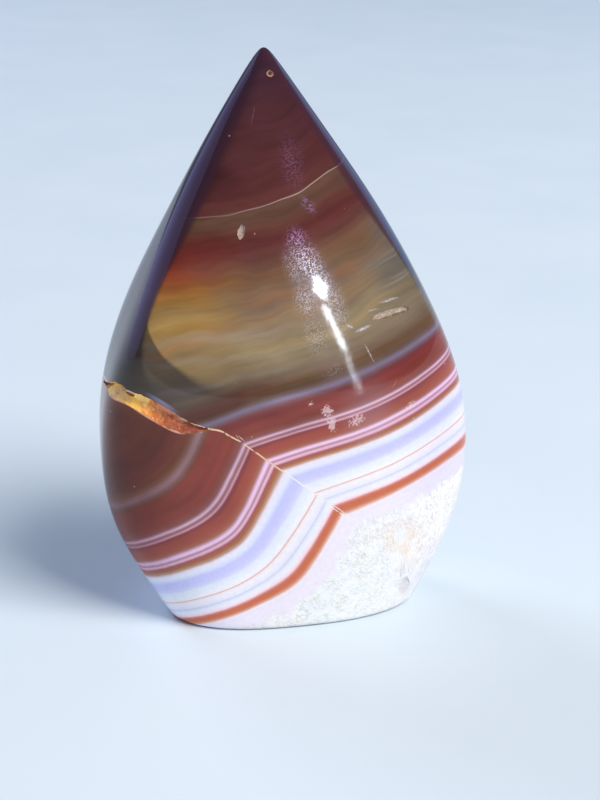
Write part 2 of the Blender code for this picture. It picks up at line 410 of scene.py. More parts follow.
def ground_depth(x, y, z, tip_x):
    """Return how far inside the ground faces each point lies, below zero on the bevels."""
    drop = HEIGHT - z
    left = left_reach(drop)
    right = right_reach(drop)
    middle = tip_x + (right - left) / 2.0
    reach = np.maximum((right + left) / 2.0, 0.01)
    shape = squareness(drop)
    share = np.clip(np.abs(x - middle) / reach, 0.0, 1.0)
    oval = half_depth(drop) * (1.0 - share ** shape) ** (1.0 / shape)
    start = np.where(y > 0.0, BACK_FACE_START, FRONT_FACE_START)
    return oval - (start + FACE_LEAN * drop)


def write_value(mesh, name, values):
    """Store one number for every vertex."""
    attribute = mesh.attributes.new(name, "FLOAT", "POINT")
    attribute.data.foreach_set("value", np.asarray(values, np.float32))


def write_band_values(mesh, tip_x):
    """Work out every distance that the stone's material reads."""
    places = np.empty(3 * len(mesh.vertices), np.float32)
    mesh.vertices.foreach_get("co", places)
    x, y, z = (places.reshape(-1, 3) / MM).astype(float).T
    height = z + DIP * y
    upper = upper_level(x, height)
    write_value(mesh, "upper_level", upper)
    write_value(mesh, "lower_level", lower_level(x, height))
    write_value(mesh, "seam", height - np.interp(x, SEAM_PLACES, SEAM_HEIGHTS))
    inside = ground_depth(x, y, z, tip_x) + GROUND_MARGIN
    # The edge of the painted glow: outside it the material paints shade
    above = upper - natural_spline(GLOW_PLACES, GLOW_LEVELS)(x)
    glow = 0.5 * (inside + above - np.sqrt((inside - above) ** 2 + GLOW_CORNER ** 2))
    write_value(mesh, "glow", (glow + GLOW_MARGIN) / np.interp(x, GLOW_FADE_PLACES, GLOW_FADES))
    write_value(mesh, "ground", inside)
    bearing = np.degrees(np.arctan2(-y, -x))
    write_value(mesh, "bearing", bearing)
    bearing = np.clip(bearing, LEDGE_BEARINGS[0], LEDGE_BEARINGS[-1])
    write_value(mesh, "lip", z - natural_spline(LEDGE_BEARINGS, LEDGE_LOWER_LIPS)(bearing))
    write_value(mesh, "upper_lip", z - natural_spline(LEDGE_BEARINGS, LEDGE_UPPER_LIPS)(bearing))


class Graph:
    """A short way to write the nodes of one material."""

    def __init__(self, name):
        self.material = bpy.data.materials.new(name)
        self.material.use_nodes = True
        self.nodes = self.material.node_tree.nodes
        self.links = self.material.node_tree.links
        self.shader = self.nodes["Principled BSDF"]
        # The place on the object in millimetres
        where = self.add("ShaderNodeTexCoord", {}, "Object")
        self.where = self.stretch(where, (1000.0, 1000.0, 1000.0))

    def put(self, socket, value):
        """Link or set one input."""
        if isinstance(value, bpy.types.NodeSocket):
            self.links.new(value, socket)
        else:
            socket.default_value = value

    def fill(self, name, value):
        """Link or set one input of the shader."""
        self.put(self.shader.inputs[name], value)

    def add(self, kind, inputs, output=0, **settings):
        """Add a node and return one of its outputs."""
        node = self.nodes.new(kind)
        for key, value in settings.items():
            setattr(node, key, value)
        for key, value in inputs.items():
            self.put(node.inputs[key], value)
        return node.outputs[output]

    def value(self, name):
        """Read a number stored at the vertices."""
        return self.add("ShaderNodeAttribute", {}, "Fac", attribute_name=name)

    def stretch(self, vector, factors):
        """Multiply a vector by three factors."""
        return self.add("ShaderNodeVectorMath", {0: vector, 1: factors}, operation="MULTIPLY")

    def split(self, vector):
        """Return the three parts of a vector."""
        node = self.nodes.new("ShaderNodeSeparateXYZ")
        self.links.new(vector, node.inputs[0])
        return tuple(node.outputs)

    def join(self, x, y, z):
        """Return a vector made from three numbers."""
        return self.add("ShaderNodeCombineXYZ", {0: x, 1: y, 2: z})

    def swing(self, value, size):
        """Turn noise between 0 and 1 into a swing of a size either way."""
        return self.times(self.math("SUBTRACT", value, 0.5), 2.0 * size)

    def spot(self, centre, size, lean, feather):
        """Return 1 inside an oval on the front of the stone, with a soft edge."""
        turn = (0.0, -math.radians(lean), 0.0)
        inputs = {"Vector": self.where, "Location": centre, "Rotation": turn, "Scale": size}
        local = self.add("ShaderNodeMapping", inputs, vector_type="TEXTURE")
        away = self.add("ShaderNodeVectorMath", {0: local}, "Value", operation="LENGTH")
        return self.step(away, 1.0, feather)

    def patches(self, spots):
        """Return the strongest of several soft ovals on the front of the stone."""
        strongest = 0.0
        for centre, size, lean, strength in spots:
            patch = self.times(self.spot(centre, size, lean, 0.0), strength)
            strongest = self.math("MAXIMUM", patch, strongest)
        return strongest

    def math(self, operation, first, second=0.0):
        """Combine two numbers."""
        return self.add("ShaderNodeMath", {0: first, 1: second}, operation=operation)

    def times(self, product, *factors):
        """Multiply numbers together."""
        for factor in factors:
            product = self.math("MULTIPLY", product, factor)
        return product

    def step(self, value, low, high, to_low=0.0, to_high=1.0):
        """Return a smooth step between two limits."""
        inputs = {0: value, 1: low, 2: high, 3: to_low, 4: to_high}
        return self.add("ShaderNodeMapRange", inputs, interpolation_type="SMOOTHSTEP")

    def peak(self, value, centre, width):
        """Return 1 at the centre, falling to 0 within a width on both sides."""
        away = self.math("ABSOLUTE", self.math("SUBTRACT", value, centre))
        return self.step(away, width, 0.0)

    def mix(self, share, first, second, blend="MIX"):
        """Mix two colours."""
        inputs = {0: share, 6: colour(first), 7: colour(second)}
        return self.add("ShaderNodeMix", inputs, 2, data_type="RGBA", blend_type=blend)

    def blend(self, share, first, second):
        """Mix two numbers."""
        return self.add("ShaderNodeMix", {0: share, 2: first, 3: second}, 0, data_type="FLOAT")

    def tinted(self, colours, red, green, blue):
        """Multiply the three parts of a colour."""
        factors = self.add("ShaderNodeCombineColor", {0: red, 1: green, 2: blue})
        return self.mix(1.0, colours, factors, "MULTIPLY")

    def noise(self, scale, detail, roughness=0.5, vector=None):
        """Return noise between 0 and 1, over the place or over another vector."""
        vector = self.where if vector is None else vector
        inputs = {"Vector": vector, "Scale": scale, "Detail": detail, "Roughness": roughness}
        return self.add("ShaderNodeTexNoise", inputs, "Fac")

    def voronoi(self, vector, scale, feature):
        """Return a distance in a cell pattern."""
        inputs = {"Vector": vector, "Scale": scale}
        return self.add("ShaderNodeTexVoronoi", inputs, "Distance", feature=feature)

    def ramp(self, value, stops):
        """Turn a distance into colours, from (distance, colour) stops in rising order."""
        first = stops[0][0]
        last = stops[-1][0]
        share = self.add("ShaderNodeMapRange", {0: value, 1: first, 2: last})
        node = self.nodes.new("ShaderNodeValToRGB")
        self.links.new(share, node.inputs[0])
        elements = node.color_ramp.elements
        for _ in range(len(stops) - 2):
            elements.new(0.5)
        for element, (distance, tint) in zip(elements, stops):
            element.position = (distance - first) / (last - first)
            element.color = colour(tint)
        return node.outputs["Color"]

    def bump(self, height, strength, distance):
        """Return a normal bumped by a height in millimetres."""
        inputs = {"Height": height, "Strength": strength, "Distance": distance * MM}
        return self.add("ShaderNodeBump", inputs)


def colour(tint):
    """Turn red, green and blue out of 255 into a linear colour, and pass sockets on."""
    if isinstance(tint, bpy.types.NodeSocket):
        return tint
    linear = [((c / 255.0 + 0.055) / 1.055) ** 2.4 if c > 10 else c / 3295.0 for c in tint]
    return (*linear, 1.0)


STONE_IOR = 1.54
POLISH = 0.032
# Levels at which one list of colours gives way to the next
RED_START = 34.9
LAVENDER_START = 44.6
CHOCOLATE_START = 48.3
TOP_START = 52.0
ARC_LEVEL = 88.0
# Colours across the bands, from the crystals up, against the level in millimetres
WHITE_BANDS = (
    (20.0, (244, 236, 248)), (21.2, (242, 234, 248)), (21.6, (252, 236, 240)),
    (22.0, (230, 186, 176)), (22.2, (220, 162, 142)), (22.45, (215, 138, 110)),
    (22.8, (208, 116, 82)), (23.6, (206, 110, 78)), (24.0, (211, 118, 96)),
    (24.3, (221, 150, 146)), (24.6, (250, 212, 218)), (25.0, (249, 234, 244)),
    (25.4, (244, 242, 250)), (26.0, (234, 235, 248)), (26.4, (214, 216, 236)),
    (26.7, (236, 236, 249)), (27.8, (248, 242, 248)), (28.35, (246, 234, 236)),
    (28.5, (222, 158, 138)), (28.65, (246, 234, 236)), (29.0, (248, 245, 250)),
    (30.0, (236, 240, 248)), (30.6, (232, 236, 250)), (31.2, (216, 216, 248)),
    (31.9, (206, 206, 248)), (33.0, (202, 202, 247)), (33.3, (210, 212, 247)),
    (33.8, (226, 228, 249)), (34.3, (234, 233, 247)), (34.9, (236, 226, 237)),
)
RED_BANDS = (
    (34.9, (236, 224, 235)), (35.02, (226, 204, 208)), (35.15, (212, 182, 176)),
    (35.35, (188, 146, 128)), (35.6, (179, 124, 94)), (35.85, (173, 103, 70)),
    (36.15, (171, 98, 78)), (36.4, (160, 88, 88)), (36.65, (211, 153, 170)),
    (36.9, (238, 188, 211)), (37.15, (224, 177, 196)), (37.4, (178, 128, 142)),
    (37.65, (212, 165, 189)), (37.95, (248, 207, 239)), (38.2, (234, 192, 223)),
    (38.45, (194, 147, 157)), (38.7, (166, 108, 98)), (38.95, (166, 97, 78)),
    (39.3, (164, 87, 68)), (40.0, (160, 78, 66)), (41.1, (148, 70, 60)),
    (41.4, (134, 60, 66)), (41.65, (150, 82, 92)), (41.9, (212, 158, 170)),
    (42.1, (180, 128, 136)), (42.35, (144, 92, 97)), (42.6, (174, 128, 142)),
    (42.85, (224, 183, 203)), (43.1, (182, 140, 154)), (43.35, (141, 88, 90)),
    (43.7, (139, 78, 70)), (44.6, (135, 61, 51)),
)
LAVENDER_BANDS = (
    (44.6, (135, 61, 51)), (46.0, (131, 59, 52)), (47.0, (121, 52, 49)),
    (47.8, (118, 56, 55)), (48.4, (120, 80, 86)), (48.9, (123, 104, 121)),
    (49.2, (127, 113, 138)), (49.5, (120, 106, 121)), (50.0, (108, 88, 86)),
    (51.0, (103, 77, 58)), (52.0, (103, 77, 55)),
)
AMBER_BANDS = (
    (52.0, (86, 48, 38)), (53.0, (96, 62, 50)), (54.5, (114, 92, 74)),
    (56.5, (124, 104, 80)), (59.0, (126, 106, 76)), (62.0, (134, 110, 74)),
    (64.5, (145, 117, 80)), (66.5, (151, 115, 60)), (68.5, (153, 122, 72)),
    (70.0, (147, 115, 70)), (72.0, (141, 104, 53)), (74.0, (139, 90, 43)),
    (75.6, (131, 71, 37)), (77.0, (116, 51, 31)), (79.5, (98, 37, 29)),
    (82.0, (92, 37, 30)), (84.3, (88, 46, 34)), (85.6, (86, 57, 42)),
    (87.8, (90, 63, 46)), (88.3, (84, 44, 38)), (91.0, (79, 38, 35)),
    (96.0, (68, 30, 31)), (102.0, (63, 28, 31)), (112.0, (64, 32, 42)),
)
OLIVE_BANDS = (
    (52.0, (103, 77, 55)), (53.0, (113, 90, 71)), (54.0, (121, 102, 83)),
    (56.0, (136, 118, 94)), (58.0, (144, 127, 101)), (60.0, (145, 125, 92)),
    (62.0, (142, 124, 97)), (64.0, (138, 117, 92)), (66.0, (132, 106, 79)),
    (68.0, (127, 103, 83)), (70.0, (121, 98, 79)), (72.0, (117, 90, 68)),
    (74.0, (113, 81, 60)), (76.0, (107, 73, 57)), (78.0, (99, 58, 51)),
    (80.5, (94, 44, 43)), (83.0, (96, 53, 45)), (85.0, (97, 65, 53)),
    (87.8, (97, 67, 53)), (88.3, (90, 49, 44)), (91.0, (87, 43, 41)),
    (96.0, (80, 40, 41)), (104.0, (72, 37, 39)), (112.0, (68, 37, 49)),
)
CHOCOLATE_BANDS = (
    (48.3, (122, 66, 52)), (48.9, (132, 88, 78)), (49.4, (148, 114, 120)),
    (49.8, (142, 108, 110)), (50.3, (124, 82, 64)), (51.1, (112, 60, 42)),
    (52.6, (104, 50, 40)), (56.0, (104, 52, 40)), (62.0, (122, 72, 48)),
)

# Painted shade and a cool painted reflection on the top outside the ground faces, where the light doesn't
# come back as warm
SHADE_AND_REFLECTION_TINT = (158, 165, 195)
# Pale lines: level, how they climb left of PALE_LINES_BEND, half width and strength
PALE_LINES = ((63.0, 0.14, 1.7, 0.2), (58.4, 0.2, 1.2, 0.16), (55.2, 0.1, 0.9, 0.16))
PALE_LINES_BEND = -4.0
# Crystals, against their grain from 0 to 1, and the place that they grow towards
QUARTZ = (
    (0.3, (214, 212, 214)), (0.4, (238, 236, 240)), (0.52, (250, 248, 250)),
    (0.7, (253, 252, 250)),
)
CRYSTAL_POLE = (26.0, 0.0, 2.0)
# The break, against the bearing in degrees
BREAK_COLOURS = (
    (-3.0, (84, 26, 22)), (4.0, (112, 46, 28)), (6.5, (190, 146, 78)),
    (10.0, (232, 204, 118)), (14.0, (216, 174, 108)), (19.0, (222, 176, 98)),
    (21.5, (240, 190, 88)), (25.0, (226, 154, 76)), (27.5, (196, 114, 62)),
    (30.5, (168, 86, 52)), (35.0, (150, 72, 50)), (42.0, (132, 60, 48)),
)
# Ovals on the front: place and half sizes in millimetres, lean in degrees
PEACH_SPOT = ((21.0, -12.0, 16.4), (6.5, 9.0, 9.0), 20.0)
BASE_BRUISE = ((21.5, -12.0, 6.5), (5.5, 9.0, 6.0), 0.0)
TIP_PIT_MIDDLE = ((-3.0, -5.0, 106.0), (0.46, 9.0, 0.46), 0.0)
# Strokes of the scar: the same, and the share of the oval where they are full
SCAR_STROKES = (
    ((17.6, -13.0, 63.5), (3.9, 9.0, 0.62), 11.0, 0.3),
    ((15.6, -13.0, 62.9), (1.9, 9.0, 0.6), 11.0, 0.4),
)
# Scuffed patches of fine pitting, painted with the pale glints it throws back from the light: place, half
# sizes, lean and strength
SCUFF_GLINTS = (
    ((0.2, -6.0, 90.6), (3.2, 8.0, 7.6), 6.0, 0.22),
    ((2.9, -6.0, 83.3), (1.5, 8.0, 3.0), 40.0, 0.9),
    ((0.6, -8.0, 77.2), (2.9, 8.0, 3.4), 20.0, 1.1),
    ((2.4, -8.0, 73.4), (3.3, 8.0, 7.0), 30.0, 1.7),
    ((4.9, -8.0, 69.0), (2.8, 8.0, 5.4), 20.0, 1.6),
    ((0.2, -8.0, 72.6), (3.0, 8.0, 5.0), 22.0, 0.6),
    ((1.8, -8.0, 66.2), (3.4, 8.0, 5.4), 14.0, 0.85),
    ((7.4, -8.0, 64.4), (3.2, 8.0, 9.6), 17.0, 0.9),
    ((3.6, -9.0, 59.6), (3.8, 8.0, 5.6), 14.0, 0.6),
    ((6.6, -9.0, 53.6), (4.2, 8.0, 2.6), 20.0, 0.5),
)
# Pale ragged blotches: the same
BLOTCHES = (
    ((5.2, -12.0, 46.2), (1.8, 8.0, 2.1), 0.0, 1.8),
    ((6.0, -12.0, 43.6), (1.5, 8.0, 2.7), 12.0, 1.8),
    ((10.6, -12.0, 43.9), (2.9, 8.0, 2.0), 24.0, 1.5),
    ((21.0, -12.0, 45.7), (0.9, 8.0, 1.9), -40.0, 1.4),
    ((2.0, -12.0, 47.9), (1.2, 8.0, 0.8), 20.0, 0.7),
)
# Wide patches of painted sheen, a faint haze of light around the bright spot and along its streak: the
# same
SHEEN_VEILS = (
    ((4.0, -8.0, 68.0), (6.0, 8.0, 13.0), 24.0, 0.22),
    ((7.0, -9.0, 54.0), (8.0, 8.0, 7.0), 20.0, 0.13),
    ((13.0, -12.0, 44.5), (8.0, 9.0, 11.0), 0.0, 0.16),
)
# Scratches: the same as scuffs, much narrower
SCRATCHES = (
    ((12.1, -10.0, 60.8), (2.2, 8.0, 0.45), 20.0, 0.85),
    ((9.8, -10.0, 61.4), (1.1, 8.0, 0.3), -24.0, 0.75),
    ((13.3, -10.0, 56.3), (2.9, 8.0, 0.22), -64.0, 0.9),
    ((17.3, -10.0, 65.7), (2.4, 8.0, 0.35), 12.0, 0.7),
    ((14.2, -10.0, 64.1), (1.4, 8.0, 0.22), 10.0, 0.6),
    ((17.9, -10.0, 50.4), (1.4, 8.0, 0.16), 62.0, 0.5),
    ((-10.9, -12.0, 42.0), (1.5, 8.0, 0.14), -48.0, 0.8),
    ((-11.6, -12.0, 42.3), (1.1, 8.0, 0.12), -58.0, 0.7),
    ((-6.4, -4.0, 99.0), (0.2, 8.0, 2.4), -14.0, 0.2),
)


class BandedStone(Graph):
    """The nodes of the polished stone, and the distances that they all read."""

    def __init__(self):
        super().__init__("sardonyx")
        self.x, self.y, self.z = self.split(self.where)
        self.seam = self.value("seam")
        self.upper = self.math("GREATER_THAN", self.seam, 0.0)
        self.lower = self.math("SUBTRACT", 1.0, self.upper)
        level = self.blend(self.upper, self.value("lower_level"), self.value("upper_level"))
        level = self.math("ADD", level, self.swing(self.noise(0.13, 2.0), 0.16))
        high = self.step(level, 51.0, 62.0)
        slow = self.swing(self.noise(0.11, 1.0), 2.4)
        self.level = self.math("ADD", level, self.times(high, slow))
        # Soft laminae run along the bands, and clouds lie across them
        self.drift = self.stretch(self.join(self.x, self.y, self.level), (0.05, 0.05, 0.6))
        self.laminae = self.noise(1.0, 3.0, 0.55, self.drift)
        self.clouds = self.noise(1.0, 3.0, 0.5, self.stretch(self.where, (0.08, 0.08, 0.16)))

    def rise(self, low, high, to_low=0.0, to_high=1.0):
        """Return a smooth step of the band level."""
        return self.step(self.level, low, high, to_low, to_high)


def top_bands(g):
    """Return the colours above TOP_START, and where amber has given way to olive."""
    level = g.level
    side = g.math("ADD", g.x, g.swing(g.clouds, 9.0))
    late = g.rise(66.5, 60.0, 0.0, 7.0)
    olive = g.step(g.math("SUBTRACT", side, late), -19.0, -8.0)
    top = g.mix(olive, g.ramp(level, AMBER_BANDS), g.ramp(level, OLIVE_BANDS))
    ember = g.step(g.noise(0.7, 2.0, 0.5, g.drift), 0.5, 0.66)
    top = g.mix(g.times(ember, g.peak(level, 67.0, 9.0), 0.3), top, (160, 96, 48))
    # A cool haze with pale streaks lies towards the right edge
    haze = g.times(g.step(side, 11.0, 22.0), g.peak(level, 66.0, 18.0))
    cool = g.mix(g.rise(60.0, 72.0), (98, 86, 74), (84, 92, 94))
    top = g.mix(g.times(haze, 0.85), top, cool)
    streaks = g.step(g.noise(1.7, 1.0, 0.5, g.drift), 0.56, 0.66)
    top = g.mix(g.times(streaks, haze, 0.5), top, (134, 128, 118))
    for height, climb, width, strength in PALE_LINES:
        tilt = g.times(g.math("MINIMUM", g.x, PALE_LINES_BEND), climb)
        line = g.peak(g.math("ADD", level, tilt), height + PALE_LINES_BEND * climb, width)
        line = g.times(line, g.step(side, 4.0, -8.0, 0.12, 1.0), strength)
        top = g.mix(line, top, (158, 152, 142))
    return top, olive


def bands(g):
    """Return the colours of all the bands, from the crystals up to the tip."""
    level = g.level
    top, olive = top_bands(g)
    middle = g.mix(g.upper, g.ramp(level, CHOCOLATE_BANDS), g.ramp(level, LAVENDER_BANDS))
    near_seam = g.times(g.step(g.seam, -4.5, -0.5), g.rise(51.0, 55.0), g.lower, 0.75)
    middle = g.mix(near_seam, middle, (158, 100, 62))
    brown = g.times(g.math("SUBTRACT", 1.0, olive), g.rise(49.4, 51.0), g.upper)
    middle = g.mix(brown, middle, (86, 48, 38))
    is_red = g.math("GREATER_THAN", level, RED_START)
    colours = g.mix(is_red, g.ramp(level, WHITE_BANDS), g.ramp(level, RED_BANDS))
    red_end = g.blend(g.upper, CHOCOLATE_START, LAVENDER_START)
    colours = g.mix(g.math("GREATER_THAN", level, red_end), colours, middle)
    is_top = g.times(g.math("GREATER_THAN", level, TOP_START), g.upper)
    colours = g.mix(is_top, colours, top)
    # One thin pale line crosses the top as an arc
    arc_level = g.swing(g.noise(0.12, 1.0), 1.0)
    arc_level = g.math("ADD", g.value("upper_level"), arc_level)
    arc = g.times(g.peak(arc_level, ARC_LEVEL, 0.2), g.step(g.x, -16.0, 6.0, 0.22, 0.8))
    return g.mix(g.times(arc, g.upper), colours, (186, 156, 152))


def toned(g, colours):
    """Lighten and darken the bands softly, the white ones least."""
    x = g.x
    tone = g.math("ADD", g.swing(g.laminae, 0.4), g.swing(g.clouds, 0.3))
    tone = g.math("ADD", 1.0, tone)
    grain = g.math("ADD", 1.0, g.swing(g.noise(1.3, 3.0, 0.6), 0.1))
    tone = g.blend(g.rise(34.0, 46.0, 0.05, 1.0), grain, tone)
    colours = g.tinted(colours, tone, tone, tone)
    # The red bands darken towards both edges. On the left this is painted shade where the stone turns from
    # the light, and the white bands get painted light there
    right = g.blend(g.rise(54.0, 48.0), 1.0, g.step(x, 16.0, 30.0, 1.0, 0.84))
    left_red = g.times(g.rise(35.0, 39.0), g.lower)
    painted_shade_red = g.blend(left_red, 1.0, g.step(x, -20.0, -34.0, 1.0, 0.86))
    left = g.blend(left_red, 1.0, g.step(x, -20.0, -34.0, 1.0, 0.64))
    left_white = g.times(g.rise(35.2, 34.6), g.lower)
    painted_light_left = g.blend(left_white, 1.0, g.step(x, -2.0, -14.0, 1.0, 1.1))
    red = g.times(right, painted_shade_red, painted_light_left)
    green = g.times(right, left, painted_light_left)
    blue = g.times(g.math("SQRT", right), left, painted_light_left)
    return g.tinted(colours, red, green, blue)


def painted_shade_outside(g, colours):
    """Paint shade on the top outside the ground faces, cooled as a painted reflection, and darker painted
    shade on its flanks.
    """
    painted_rim_shade = g.times(g.step(g.value("glow"), 1.0, -1.0), g.upper, g.rise(50.0, 58.0))
    colours = g.mix(painted_rim_shade, colours, g.mix(1.0, colours, SHADE_AND_REFLECTION_TINT, "MULTIPLY"))
    painted_flank_shade = g.step(g.value("ground"), 0.5, -0.3)
    painted_flank_shade = g.times(painted_flank_shade, g.upper, g.rise(54.0, 66.0, 0.0, 0.75))
    return g.mix(painted_flank_shade, colours, g.mix(g.rise(62.0, 72.0), (52, 42, 36), (60, 32, 46)))


def with_crystals(g, colours):
    """Add the crystals at the heart. Return also where they are and their outlines."""
    bent = g.add("ShaderNodeTexNoise", {"Vector": g.where, "Scale": 0.5, "Detail": 2.0}, "Color")
    inputs = {0: bent, 1: (2.2, 2.2, 2.2), 2: g.where}
    bent = g.add("ShaderNodeVectorMath", inputs, operation="MULTIPLY_ADD")
    bent = g.add("ShaderNodeVectorMath", {0: bent, 1: CRYSTAL_POLE}, operation="SUBTRACT")
    across, depth, up = g.split(bent)
    turn = g.times(g.math("ARCTAN2", up, across), 20.0)
    reach = g.math("SQRT", g.math("ADD", g.times(across, across), g.times(up, up)))
    growth = g.join(turn, depth, g.times(reach, 0.4))
    edges = g.voronoi(growth, 1.5, "DISTANCE_TO_EDGE")
    faint = g.noise(0.35, 3.0)
    ragged = g.math("ADD", g.level, g.swing(g.noise(0.3, 4.0, 0.6), 3.5))
    crystal = g.step(ragged, 18.8, 16.6)
    quartz = g.ramp(g.noise(2.0, 3.0, 0.6, growth), QUARTZ)
    pools = g.times(g.step(g.noise(0.09, 1.0), 0.4, 0.6), 0.5)
    quartz = g.mix(pools, quartz, g.mix(g.step(g.x, 14.0, 30.0), (242, 250, 252), (230, 228, 250)))
    peach = g.times(g.spot(*PEACH_SPOT, 0.0), g.step(faint, 0.3, 0.6), 0.7)
    quartz = g.mix(peach, quartz, (255, 232, 208))
    bruise = g.spot(*BASE_BRUISE, 0.2)
    outline = g.times(g.step(edges, 0.1, 0.0), g.step(faint, 0.38, 0.56))
    ink = g.mix(g.step(g.noise(0.4, 1.0), 0.4, 0.6), (196, 186, 152), (182, 190, 196))
    quartz = g.mix(g.times(outline, g.blend(bruise, 0.5, 0.8)), quartz, ink)
    return g.mix(crystal, colours, quartz), crystal, outline


def with_seam(g, colours):
    """Add the healed seam: a thin cream line, paler low down and doubled there."""
    offset = g.math("ADD", g.seam, g.swing(g.noise(0.5, 2.0), 0.2))
    offset = g.math("ABSOLUTE", offset)
    doubled = g.math("ABSOLUTE", g.math("SUBTRACT", offset, 0.32))
    low_down = g.rise(31.0, 28.0)
    line = g.blend(low_down, g.step(offset, 0.24, 0.1), g.step(doubled, 0.2, 0.06, 0.0, 0.7))
    gaps = g.step(g.noise(0.6, 2.0), 0.3, 0.45)
    line = g.times(line, g.rise(11.0, 17.0), gaps)
    cream = g.mix(g.rise(33.0, 36.5), (246, 240, 238), (232, 196, 160))
    return g.mix(line, colours, cream)


def with_ledge_edges(g, colours):
    """Add the ledge's thin pale lower lip and a painted bluish highlight along its upper lip."""
    lip = g.step(g.math("ABSOLUTE", g.value("lip")), 0.36, 0.12)
    bearing = g.value("bearing")
    lip = g.times(lip, g.step(bearing, 8.0, 11.0), g.step(bearing, 36.0, 33.0))
    colours = g.mix(g.times(lip, 0.85), colours, (232, 174, 146))
    # Painted highlight: a bluish reflection along the upper lip
    lip_highlight = g.step(g.peak(g.value("upper_lip"), 0.6, 0.75), 0.1, 0.5)
    lip_highlight = g.times(lip_highlight, g.peak(bearing, 30.3, 4.6), 0.9)
    return g.mix(lip_highlight, colours, (128, 122, 152))


def with_wear(g, colours):
    """Add painted glints in curls of fine pitting on scuffed patches, a painted haze of sheen, blotches,
    scratches and dust.
    """
    curls = g.math("ABSOLUTE", g.math("SUBTRACT", g.noise(1.9, 1.5, 0.55), 0.5))
    specks = g.times(g.step(curls, 0.07, 0.02), g.step(g.noise(1.6, 1.0), 0.28, 0.42))
    # Pale glints painted over the scuffs' fine pitting, where it catches the light
    glints_and_scratches = g.times(g.patches(SCUFF_GLINTS), specks)
    # Painted sheen: faint pale haze
    colours = g.mix(g.patches(SHEEN_VEILS), colours, (214, 204, 226))
    holes = g.step(g.noise(2.0, 3.0, 0.6), 0.4, 0.6, 0.0, 0.7)
    blotched = g.step(g.math("SUBTRACT", g.patches(BLOTCHES), holes), 0.0, 0.4)
    colours = g.mix(g.times(blotched, 0.62), colours, (236, 204, 206))
    for centre, size, lean, strength in SCRATCHES:
        scratch = g.times(g.spot(centre, size, lean, 0.3), strength)
        scratch = g.times(scratch, g.step(specks, 0.0, 0.6, 0.35, 1.0))
        glints_and_scratches = g.math("MAXIMUM", scratch, glints_and_scratches)
    # The painted glints and the real scratches take these pale colours
    glint_and_scratch_colour = g.mix(g.step(g.z, 71.0, 79.0), (238, 236, 255), (176, 130, 182))
    colours = g.mix(g.math("MINIMUM", g.times(glints_and_scratches, 0.85), 1.0), colours, glint_and_scratch_colour)
    dust = g.step(g.voronoi(g.where, 0.2, "F1"), 0.045, 0.02)
    return g.mix(g.times(dust, 0.4), colours, (214, 196, 190))


def stone_material():
    """Return the polished banded finish."""
    g = BandedStone()
    colours = painted_shade_outside(g, toned(g, bands(g)))
    colours, crystal, outline = with_crystals(g, colours)
    colours = with_wear(g, with_ledge_edges(g, with_seam(g, colours)))
    g.fill("Base Color", colours)
    lines = g.times(outline, crystal)
    g.fill("Roughness", g.math("ADD", POLISH, g.times(lines, 0.25)))
    relief = g.math("SUBTRACT", g.times(g.noise(0.8, 2.0), 0.15), lines)
    g.fill("Normal", g.bump(relief, 1.0, 0.01))
    g.fill("IOR", STONE_IOR)
    g.fill("Specular IOR Level", 0.3)
    return g.material


def fracture_material():
    """Return the rough break inside the ledge, with a painted glow."""
    g = Graph("fracture")
    bearing = g.value("bearing")
    lip = g.value("lip")
    along = g.math("ADD", bearing, g.swing(g.noise(0.7, 3.0), 3.0))
    base = g.ramp(along, BREAK_COLOURS)
    upper = g.times(g.step(lip, 1.6, 2.4), g.step(bearing, 25.5, 28.0), 0.7)
    base = g.mix(upper, base, (240, 172, 138))
    flakes = g.step(g.noise(2.2, 3.0), 0.5, 0.62)
    base = g.mix(g.times(flakes, g.step(bearing, 26.0, 30.0, 0.35, 0.14)), base, (246, 206, 158))
    lump = g.step(g.peak(bearing, LUMP_BEARING + 0.7, 3.8), 0.1, 0.4)
    crumbs = g.mix(g.step(g.noise(2.6, 2.0), 0.4, 0.6), (250, 204, 112), (255, 228, 164))
    base = g.mix(g.times(lump, g.step(lip, 0.9, 1.7)), base, crumbs)
    # Painted shadow in the hollow under the upper lip, left of the lump
    hollow_shadow = g.times(g.step(bearing, 13.0, 15.5), g.step(bearing, 19.8, 18.9), g.step(lip, 2.2, 2.9))
    base = g.mix(hollow_shadow, base, (72, 34, 30))
    g.fill("Base Color", base)
    g.fill("Roughness", g.step(g.noise(1.8, 2.0), 0.3, 0.7, 0.25, 0.6))
    g.fill("Normal", g.bump(g.noise(2.4, 4.0, 0.6), 0.7, 0.3))
    g.fill("IOR", STONE_IOR)
    # A weak emission of its own colour is painted light: it brightens the break, which lies in shade, and
    # with the subsurface stands for light that comes through the thin stone
    g.fill("Emission Color", base)
    g.fill("Emission Strength", 0.16)
    g.fill("Subsurface Weight", 0.35)
    g.fill("Subsurface Radius", (0.0012, 0.0006, 0.0002))
    g.fill("Subsurface Scale", 1.0)
    return g.material


